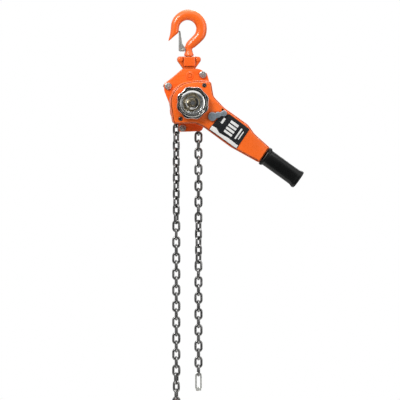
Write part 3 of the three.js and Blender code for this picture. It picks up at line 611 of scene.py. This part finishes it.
def chamfered_hex(name, radius, low, high, look, centre, place=UPRIGHT, hole=0, turn=0):
    """A hexagon whose corners are cut to a cone at both faces, as on a nut or bolt head."""
    block = plate(name, [hexagon(*centre, radius, turn)], low, high, look, 0.25, place)
    cone = turned(name + "_cone", [(0, low - 1), (radius * 0.86, low - 0.01), (radius * 1.03, low + radius * 0.1),
                  (radius * 1.03, high - radius * 0.1), (radius * 0.86, high + 0.01), (0, high + 1)],
                  look, centre, place, 48)
    block = combine(block, "INTERSECT", cone)
    if hole:
        block = combine(block, "DIFFERENCE", turned("hole", [(0, low - 2), (hole, low - 2), (hole, high + 2),
                                                             (0, high + 2)], look, centre, place, 32))
    return smooth(block, 30)


for name, centre in STAYS.items():
    nut = chamfered_hex(f"stay_nut_{name}_chamfered", 10.5, -27.4, -21.4, ZINC, centre, AT_SHAFT, 4.85, 15)
    section = soft_profile([(5, -21.5, 0), (10.3, -21.5, 0.4), (10.3, -20.3, 0.3), (5, -20.3, 0)])
    washer = turned("washer", section,
                    ZINC, centre, AT_SHAFT, 48)
    stand_for(joined(f"stay_nut_{name}_chamfered", [nut, washer]), f"stay_nut_{name}")
    bar = [(0, -29.8), (3.9, -29.8), (4.4, -29.2), (4.4, -16)]
    if name != "lower":
        bar += [(4.4, -15.7), (5.7, -15.7), (5.7, 15.7), (4.4, 15.7)]
    bar += [(4.4, 21), (0, 21)]
    bolt_head = chamfered_hex("bolt_head", 10, 20.4, 26.9, ZINC, centre, AT_SHAFT, 0, 15)
    shank = turned("shank", bar, ZINC, centre, AT_SHAFT, 32)
    stand_for(joined(f"stay_bolt_{name}_turned", [bolt_head, shank]), f"stay_bolt_{name}")

stripper = plate("chain_stripper_block", [rounded([(9, -67, 2), (9, -44, 2), (-9, -44, 2), (-9, -67, 2)])],
                 -15.7, 15.7, STEEL, 0.8, AT_SHAFT)
stand_for(stripper, "chain_stripper")

CASE_ENDS = [polar(30, 70), polar(30, 250)]
case = plate("gear_case_pressing", [capsule(CASE_ENDS[1], CASE_ENDS[0], 28.9)], 21, 55.9, ORANGE, 5, AT_SHAFT)
flange = plate("flange", [capsule(CASE_ENDS[1], CASE_ENDS[0], 39.4)], 20.4, 23.4, ORANGE, 0.7, AT_SHAFT)
hollow = plate("hollow", [capsule(CASE_ENDS[1], CASE_ENDS[0], 26)], 10, 53, ORANGE, 2, AT_SHAFT)
case = combine(combine(case, "UNION", flange), "DIFFERENCE", hollow)
stand_for(smooth(case, 40), "gear_case")
for index, angle in enumerate((160, 340)):
    centre = polar(34.5, angle)
    name = f"gear_case_screw_{index + 1}"
    head = chamfered_hex("screw_head", 4, 23.9, 26.9, ZINC, centre, AT_SHAFT)
    stem = turned("screw_stem", [(0, 20.4), (2, 20.4), (2, 24.5), (0, 24.5)], ZINC, centre, AT_SHAFT, 20)
    stand_for(joined(name + "_hex", [head, stem]), name)

cover = soft_profile([(53.9, -20.4, 0), (53.9, -45, 4), (50, -48.9, 4), (25, -48.9, 1), (25, -47.1, 0.5),
                      (49, -47.1, 3), (52.1, -44.4, 3), (52.1, -20.4, 0)])
stand_for(turned("brake_cover_pressing", cover, ORANGE, place=AT_SHAFT), "brake_cover")
pin_profile = soft_profile([(0.01, -20.9, 0), (6.1, -20.9, 0.8), (6.1, 20.9, 0.8), (0.01, 20.9, 0)])
stand_for(turned("top_pin_turned", pin_profile, ORANGE, (TOP_PIN.x / MM, TOP_PIN.z / MM), UPRIGHT, 40), "top_pin")


# ---------- hand wheel and its nut ----------
CHROME = LOOKS["chrome_plate"]
BRONZE = LOOKS["bearing_bronze"]


def lobed(radius, depth, count=192):
    points = []
    for i in range(count):
        angle = 2 * math.pi * i / count
        wave = math.cos(8 * (angle - math.radians(20)))
        reach = radius - depth + depth * wave
        points.append(Vector((reach * math.cos(angle), reach * math.sin(angle))))
    return points


rim = plate("rim", [lobed(49.4, 1.7)], -117.9, -100.1, CHROME, 0.9, AT_SHAFT)
opening = turned("opening", [(0, -130), (43.7, -130), (43.4, -118.1), (41.9, -116.4), (41, -104.7), (38, -99),
                             (0, -99)], CHROME, place=AT_SHAFT, count=128)
rim = combine(rim, "DIFFERENCE", opening)
dish = turned("dish", soft_profile([(6.9, -100, 0.4), (6.9, -93.7, 0.4), (19, -93.7, 1), (30, -97, 4), (46, -101, 1),
              (45, -104.9, 1), (40.6, -104.7, 1.5), (36.8, -110.8, 0.8), (31.2, -112.4, 0.8), (20, -101.6, 3)]),
              CHROME, place=AT_SHAFT, count=128)
stand_for(joined("hand_wheel_plated", [smooth(rim, 40), dish]), "hand_wheel")

nut = chamfered_hex("castle", 11.4, -110.9, -102, BRONZE, (0, 0), AT_SHAFT, 6.9)
slots = []
for angle in (0, 60, 120):
    a = math.radians(angle)
    along, across = Vector((math.cos(a), math.sin(a))), Vector((-math.sin(a), math.cos(a)))
    corners = [along * 20 - across * 1.2, along * 20 + across * 1.2, -along * 20 + across * 1.2,
               -along * 20 - across * 1.2]
    slots.append(plate("slot", [corners], -115, -108.8, BRONZE, 0.2, AT_SHAFT))
nut = combine(nut, "DIFFERENCE", *slots)
stand_for(smooth(nut, 30), "shaft_nut")


# ---------- lever ----------
LEVER_REAR, LEVER_SPLIT, LEVER_FRONT = -52.3, -68, -90
LEVER = anticlockwise([(270, -27, 4), (270, 28, 4), (209, 34.5, 60), (177, 45.3, 40), (88, 45, 60), (44, 53.7, 20),
                       (12, 85, 9), (-25.7, 62, 40), (-62, 25.7, 60), (-62, -25.7, 60), (-25.7, -62, 12),
                       (-6, -82, 9), (47, -43, 20), (77, -37, 60), (177, -38, 60)])
SELECTOR_AT = (85, 16)
SCREWS = {"upper": (1, 64), "lower": (1, -58)}


def lever_layer(name, distance, low, high, bevel):
    return plate(name, [rounded(inset(LEVER, distance), 4)], low, high, ORANGE, bevel, ON_LEVER)


def drill(radius, centre, low=-130, high=0):
    return turned("drill", [(0, low), (radius, low), (radius, high), (0, high)], ORANGE, centre, ON_LEVER, 40)


def lever_cuts():
    return [drill(24, (0, 0)), drill(5.8, SELECTOR_AT)]


rear = lever_layer("lever_rear_pressing", 0, LEVER_SPLIT, LEVER_REAR, 1.8)
rear_cavity = lever_layer("cavity", 2.5, LEVER_SPLIT - 5, LEVER_REAR - 2.5, 1)
tang = plate("tang", [rounded([(385, -13, 4), (385, 13, 4), (262, 13, 0), (262, -13, 0)])], -63.9, -55.1, ORANGE,
             0.6, ON_LEVER)
rear = combine(rear, "DIFFERENCE", rear_cavity, *lever_cuts(), drill(3.8, SCREWS["upper"]),
               drill(3.8, SCREWS["lower"]))
rear = combine(rear, "UNION", tang)
stand_for(smooth(rear, 40), "lever_housing_rear")

front = lever_layer("lever_front_pressing", 3.2, LEVER_FRONT, -79, 2.2)
skirt = lever_layer("skirt", 0.05, -84, LEVER_SPLIT - 0.3, 1.4)
front = combine(front, "UNION", skirt)
front_cavity = lever_layer("cavity", 5.7, LEVER_FRONT + 2.5, -70, 1)
skirt_cavity = lever_layer("cavity", 2.5, -81.5, -60, 0.8)
groove = plate("groove", [rounded(inset(LEVER, 1.5), 4), rounded(inset(LEVER, 3.3), 4)], -84.6, -82.4, ORANGE,
               0.05, ON_LEVER)
countersinks = [drill(6.9, centre, -95, -89.2) for centre in SCREWS.values()]
front = combine(front, "DIFFERENCE", front_cavity, skirt_cavity, groove, *lever_cuts(), drill(3.1, (88, 37)),
                drill(3.8, SCREWS["upper"]), drill(3.8, SCREWS["lower"]), *countersinks)
stand_for(smooth(front, 40), "lever_housing_front")

DARK = LOOKS["chain_steel"]
for name, centre in SCREWS.items():
    head = turned("screw_head", soft_profile([(0.01, -91.2, 0), (3, -91.2, 0.2), (3.2, -92.5, 0.2), (5.7, -92.5, 0.9),
                  (5.9, -90.4, 0.3), (0.01, -90.4, 0)]), DARK, centre, ON_LEVER, 40)
    shank = turned("screw_shank", [(0, -91), (3.3, -91), (3.3, -52.7), (0, -52.7)], DARK, centre, ON_LEVER, 24)
    stand_for(joined(f"housing_screw_{name}_socket", [head, shank]), f"housing_screw_{name}")


# ---------- capacity plate: plain blocks where the printing is ----------
def label_block(name, corners, look, low=-91.52, high=-91.2):
    return plate(name, [[Vector(c) for c in anticlockwise(corners)]], low, high, look, 0.05, ON_LEVER)


LABEL = LOOKS["capacity_label"]
label = plate("capacity_plate_black", [rounded(anticlockwise([(189.8, -33.8, 3), (187.8, 36.8, 3), (112, 37.8, 3),
              (92.2, 12, 8), (88.2, -33.8, 3)]))], -91.25, -90.35, LABEL, 0.2, ON_LEVER)
stand_for(label, "capacity_plate")
white = [
    [(90, -32.6), (188, -32.6), (188, -23), (150, -21.5), (120, -25), (104, -18), (90, -20)],
    [(128, -14), (156, -14), (156, -7), (128, -7)], [(128, -3), (156, -3), (156, 4), (128, 4)],
    [(128, 8), (156, 8), (156, 15), (128, 15)], [(128, 19), (156, 19), (156, 27), (128, 27)],
    [(105, 2), (112, 2), (112, 20), (105, 20)], [(166, -12), (171, -12), (171, 24), (166, 24)],
    [(176, -8), (179, -8), (179, 20), (176, 20)],
]
stand_for(joined("capacity_plate_blocks", [label_block(f"block_{i}", corners, PRINT_WHITE)
                                           for i, corners in enumerate(white)]), "capacity_plate")


# ---------- selector ----------
lobes = [(74.5, 2.5, 12.9), (97, 30, 8.9)]
pieces = []
for u, v, radius in lobes:
    pieces.append(plate("lobe", [circle(u, v, radius, 48)], -97.9, -92.1, PAINTED_ZINC, 1.6, ON_LEVER))
    halfway = ((u + SELECTOR_AT[0]) / 2, (v + SELECTOR_AT[1]) / 2)
    pieces.append(plate("arm", [capsule((u, v), halfway, min(8, radius - 3))], -97.8, -92.2, PAINTED_ZINC, 1.4,
                        ON_LEVER))
hub = plate("hub", [circle(*SELECTOR_AT, 8.9, 48)], -97.9, -92.1, PAINTED_ZINC, 1.2, ON_LEVER)
spindle = turned("spindle", [(0, -93), (4.9, -93), (4.9, -53.1), (0, -53.1)], PAINTED_ZINC, SELECTOR_AT,
                 ON_LEVER, 32)
stand_for(smooth(combine(hub, "UNION", *pieces, spindle), 40), "selector_lever").name = "selector_lever_cast"


# ---------- grip ----------
RUBBER = LOOKS["black_rubber"]
GRIP_DEPTH = -70
grip_rows = [(272, 25.5, 16.8), (272.8, 28.6, 19.6), (274.5, 29.9, 20.9), (278.5, 29.9, 20.9), (280.6, 29, 20.3),
             (282.2, 26.4, 19), (285, 25.5, 18.5), (330, 25.5, 18.5), (369, 25.5, 18.5), (384, 25.9, 18.9),
             (388, 27, 19.6), (391, 28.4, 20.4), (395, 28.5, 20.5), (397.4, 27.8, 19.8), (398.6, 26.2, 18.4),
             (399, 24, 16.5)]
rings = []
for along, width, depth in grip_rows:
    ring = []
    for i in range(72):
        angle = 2 * math.pi * i / 72
        s, c = math.sin(angle), math.cos(angle)
        y = GRIP_DEPTH + depth * math.copysign(abs(c) ** 0.7, c)
        v = width * math.copysign(abs(s) ** 0.7, s)
        ring.append((along, y, v))
    rings.append(ring)
grip = ring_skin("lever_grip_moulding", rings, RUBBER, ON_LEVER)
socket = plate("socket", [rounded([(386, -13.4, 4), (386, 13.4, 4), (250, 13.4, 0), (250, -13.4, 0)])], -64.4,
               -54.6, RUBBER, 0.2, ON_LEVER)
stand_for(smooth(combine(grip, "DIFFERENCE", socket), 50), "lever_grip")

# ---------- chain ----------
PITCH, WIRE, LINK_WIDTH, CHAIN_LIFT = 24, 7.1, 25, 0.8
FALL_X, WRAP_RADIUS = 33.4, 31.36
ARM, REACH = (LINK_WIDTH - WIRE) / 2, (PITCH + WIRE) / 2
FIXED_LINKS, LOAD_UPPER_END, LOAD_LINKS, TAIL_UPPER_END, TAIL_LINKS = 4, 20, 38, 19, 34


def link(start, end, twist, share=1):
    """One welded link of round wire, with the small upset of its weld on one side."""
    (x1, z1), (x2, z2) = start, end
    along = Vector((x2 - x1, 0, z2 - z1)).normalized()
    across = Matrix.Rotation(math.radians(twist), 3, along) @ Vector((along.z, 0, -along.x))
    out = across.cross(along)
    middle = Vector(((x1 + x2) / 2, 0, (z1 + z2) / 2))
    reach = REACH - ARM
    stations = []
    for i in range(11):
        angle = math.pi * i / 10
        c, s = math.cos(angle), math.sin(angle)
        stations.append((ARM * c, reach + ARM * s, c, s, 1))
    for height, swell in ((3.4, 1), (1.1, 1.05), (0, 1.07), (-1.1, 1.05), (-3.4, 1)):
        stations.append((-ARM, height, -1, 0, swell))
    for i in range(11):
        angle = math.pi + math.pi * i / 10
        c, s = math.cos(angle), math.sin(angle)
        stations.append((ARM * c, -reach + ARM * s, c, s, 1))
    for height in (-3.4, 0, 3.4):
        stations.append((ARM, height, 1, 0, 1))
    rings = []
    for a, b, normal_a, normal_b, swell in stations:
        centre = middle + across * a + along * b
        side = across * normal_a + along * normal_b
        radius = WIRE / 2 * share * swell
        rings.append([centre + radius * (side * math.cos(t) + out * math.sin(t))
                      for t in (2 * math.pi * k / 12 for k in range(12))])
    return rings


def chain_piece(name, links):
    vertices, faces = [], []
    for rings in links:
        first, count = len(vertices), len(rings[0])
        vertices += [v for ring in rings for v in ring]
        for index in range(len(rings)):
            low, high = first + index * count, first + ((index + 1) % len(rings)) * count
            for i in range(count):
                j = (i + 1) % count
                faces.append([low + i, low + j, high + j, high + i])
    return smooth(mesh_from(name + "_welded", vertices, faces, DARK, AT_SHAFT), 180)


def ramp(value, first, last):
    return min(1, max(0, (value - first) / (last - first)))


def load_twist(i):
    return 45 * (ramp(i, 0, 3) - ramp(i, 13, 17) + ramp(i, 32, 35) - ramp(i, 35, 37))


def tail_twist(i):
    return 45 * (ramp(i, 12, 15) - ramp(i, 19, 22))


def fall(hand, first, last, breaks, twist):
    def joint(i, lift):
        return hand * (FALL_X if i else WRAP_RADIUS), -PITCH * i + lift

    links = []
    for i in range(first, last):
        lift = CHAIN_LIFT * sum(i >= end for end in breaks)
        parity = (0 if i % 2 else 90) + (90 if hand > 0 else 0)
        share = 0.96 if any(i in (end, end - 1) for end in breaks) else 1
        links.append(link(joint(i, lift), joint(i + 1, lift), parity + twist(i), share))
    return links


def load_run(first, last):
    return fall(-1, first, last, (FIXED_LINKS, LOAD_UPPER_END), load_twist)


def tail_run(first, last):
    return fall(1, first, last, (FIXED_LINKS, TAIL_UPPER_END), tail_twist)


wrap = [link(polar(WRAP_RADIUS, 180 - 45 * i), polar(WRAP_RADIUS, 135 - 45 * i), 90 if i % 2 else 0)
        for i in range(4)]
RUNS = {
    "chain_over_sheave": wrap + load_run(0, FIXED_LINKS) + tail_run(0, FIXED_LINKS),
    "load_chain_upper": load_run(FIXED_LINKS, LOAD_UPPER_END),
    "load_chain_lower": load_run(LOAD_UPPER_END, LOAD_LINKS),
    "tail_chain_upper": tail_run(FIXED_LINKS, TAIL_UPPER_END),
    "tail_chain_lower": tail_run(TAIL_UPPER_END, TAIL_LINKS),
}
for node, links in RUNS.items():
    stand_for(chain_piece(node, links), node)

RING_TOP = -PITCH * TAIL_LINKS + 2 * CHAIN_LIFT
RING_LENGTH, RING_HALF, RING_WIRE = 46, 7.5, 2.6
path = []
for x, z, start in ((0, RING_TOP + 4.4 - RING_HALF, 0), (0, RING_TOP - RING_LENGTH + 7, 180)):
    for i in range(13):
        a, b = polar(RING_HALF, start + 15 * i)
        path.append((FALL_X + x + a, 0, z + b))
ring = wire_piece("tail_ring_bent", path, RING_WIRE - 0.1, ZINC, AT_SHAFT, True, 14)
stop = turned("stop", soft_profile([(0.01, RING_TOP - 49.8, 0), (7.8, RING_TOP - 49.8, 1.5),
              (7.8, RING_TOP - 38.2, 1.5), (0.01, RING_TOP - 38.2, 0)]), ZINC, (FALL_X, 0), AT_SHAFT, 40, True)
stand_for(joined("tail_end_ring_bent", [ring, stop]), "tail_end_ring")

pin_at = (BOTTOM_PIN.x / MM, BOTTOM_PIN.z / MM)
spool = turned("bottom_chain_pin_turned", soft_profile([(0.01, -12.5, 0), (6.1, -12.5, 0.6), (6.1, -5.1, 0.4),
               (3, -5, 0.3), (3, 5, 0.3), (6.1, 5.1, 0.4), (6.1, 12.5, 0.6), (0.01, 12.5, 0)]), STEEL, pin_at,
               UPRIGHT, 40)
stand_for(spool, "bottom_chain_pin")


# ---------- camera, lights and floor ----------
PHOTO_AZIMUTH, PHOTO_ELEVATION = math.radians(-8), math.radians(3)
VIEW_WIDTH = 1.192
LENS, SENSOR = 600, 36
view_centre = Vector((0.0334, 0, -0.536))
back = Vector((math.sin(PHOTO_AZIMUTH) * math.cos(PHOTO_ELEVATION),
               -math.cos(PHOTO_AZIMUTH) * math.cos(PHOTO_ELEVATION), math.sin(PHOTO_ELEVATION)))
camera_data = bpy.data.cameras.new("camera")
camera_data.lens = LENS
camera_data.sensor_width = SENSOR
camera_data.clip_end = 100
camera = bpy.data.objects.new("camera", camera_data)
bpy.context.scene.collection.objects.link(camera)
camera.rotation_mode = "QUATERNION"
camera.location = view_centre + back * (VIEW_WIDTH * LENS / SENSOR)
camera.rotation_quaternion = (-back).to_track_quat("-Z", "Y")
bpy.context.scene.camera = camera


def softbox(name, place, aim, size, power):
    data = bpy.data.lights.new(name, "AREA")
    data.shape = "RECTANGLE"
    data.size, data.size_y = size
    data.energy = power
    lamp = bpy.data.objects.new(name, data)
    bpy.context.scene.collection.objects.link(lamp)
    lamp.location = place
    lamp.rotation_mode = "QUATERNION"
    lamp.rotation_quaternion = (Vector(aim) - Vector(place)).to_track_quat("-Z", "Y")


softbox("key", (-1.1, -1.7, 1.0), (0, 0, -0.35), (0.8, 0.8), 34)
softbox("fill", (1.8, -1.6, -0.3), (0, 0, -0.5), (0.7, 1.6), 9)
softbox("top", (0.2, 0.1, 1.4), (0, 0, -0.3), (1.2, 0.8), 12)
softbox("rear", (0.9, 1.9, 0.7), (0, 0, -0.4), (1.2, 1.2), 20)


def studio_world():
    """A white studio that lights the object from above more than from below."""
    world = bpy.data.worlds.new("studio")
    world.use_nodes = True
    tree = world.node_tree
    background = tree.nodes["Background"]
    direction = tree.nodes.new("ShaderNodeTexCoord").outputs["Generated"]
    apart = tree.nodes.new("ShaderNodeSeparateXYZ")
    tree.links.new(direction, apart.inputs["Vector"])
    ramp_node = tree.nodes.new("ShaderNodeValToRGB")
    remap = tree.nodes.new("ShaderNodeMapRange")
    remap.inputs["From Min"].default_value = -1
    tree.links.new(apart.outputs["Z"], remap.inputs["Value"])
    tree.links.new(remap.outputs["Result"], ramp_node.inputs["Fac"])
    stops = ramp_node.color_ramp.elements
    stops[0].position, stops[0].color = 0, (0.1, 0.1, 0.1, 1)
    stops[1].position, stops[1].color = 1, (0.9, 0.9, 0.9, 1)
    for position, level in ((0.36, 0.12), (0.5, 0.55), (0.6, 0.3), (0.72, 1.1)):
        stops.new(position).color = (level, level, level, 1)
    ahead = tree.nodes.new("ShaderNodeMapRange")
    ahead.interpolation_type = "SMOOTHSTEP"
    for key, value in (("From Min", -0.97), ("From Max", -0.9), ("To Min", 0.05), ("To Max", 1)):
        ahead.inputs[key].default_value = value
    tree.links.new(apart.outputs["Y"], ahead.inputs["Value"])
    shade = tree.nodes.new("ShaderNodeMix")
    shade.data_type = "RGBA"
    shade.inputs["A"].default_value = (0, 0, 0, 1)
    tree.links.new(ahead.outputs["Result"], shade.inputs["Factor"])
    tree.links.new(ramp_node.outputs["Color"], shade.inputs["B"])
    seen = tree.nodes.new("ShaderNodeLightPath").outputs["Is Camera Ray"]
    mix = tree.nodes.new("ShaderNodeMix")
    mix.data_type = "RGBA"
    tree.links.new(seen, mix.inputs["Factor"])
    tree.links.new(shade.outputs["Result"], mix.inputs["A"])
    mix.inputs["B"].default_value = (1, 1, 1, 1)
    tree.links.new(mix.outputs["Result"], background.inputs["Color"])
    background.inputs["Strength"].default_value = 1.0
    return world


bpy.context.scene.world = studio_world()
bpy.context.scene.view_settings.view_transform = "Standard"

FLOOR_RADIUS = 1.1
floor_z = CAD_BOX[0][2] - 0.12
floor = turned("studio_floor", [(0, 0), (FLOOR_RADIUS / MM, 0), (FLOOR_RADIUS / MM, -10), (0, -10)],
               PRINT_WHITE, place=Matrix.Translation((0, 0, floor_z)), upright=True)
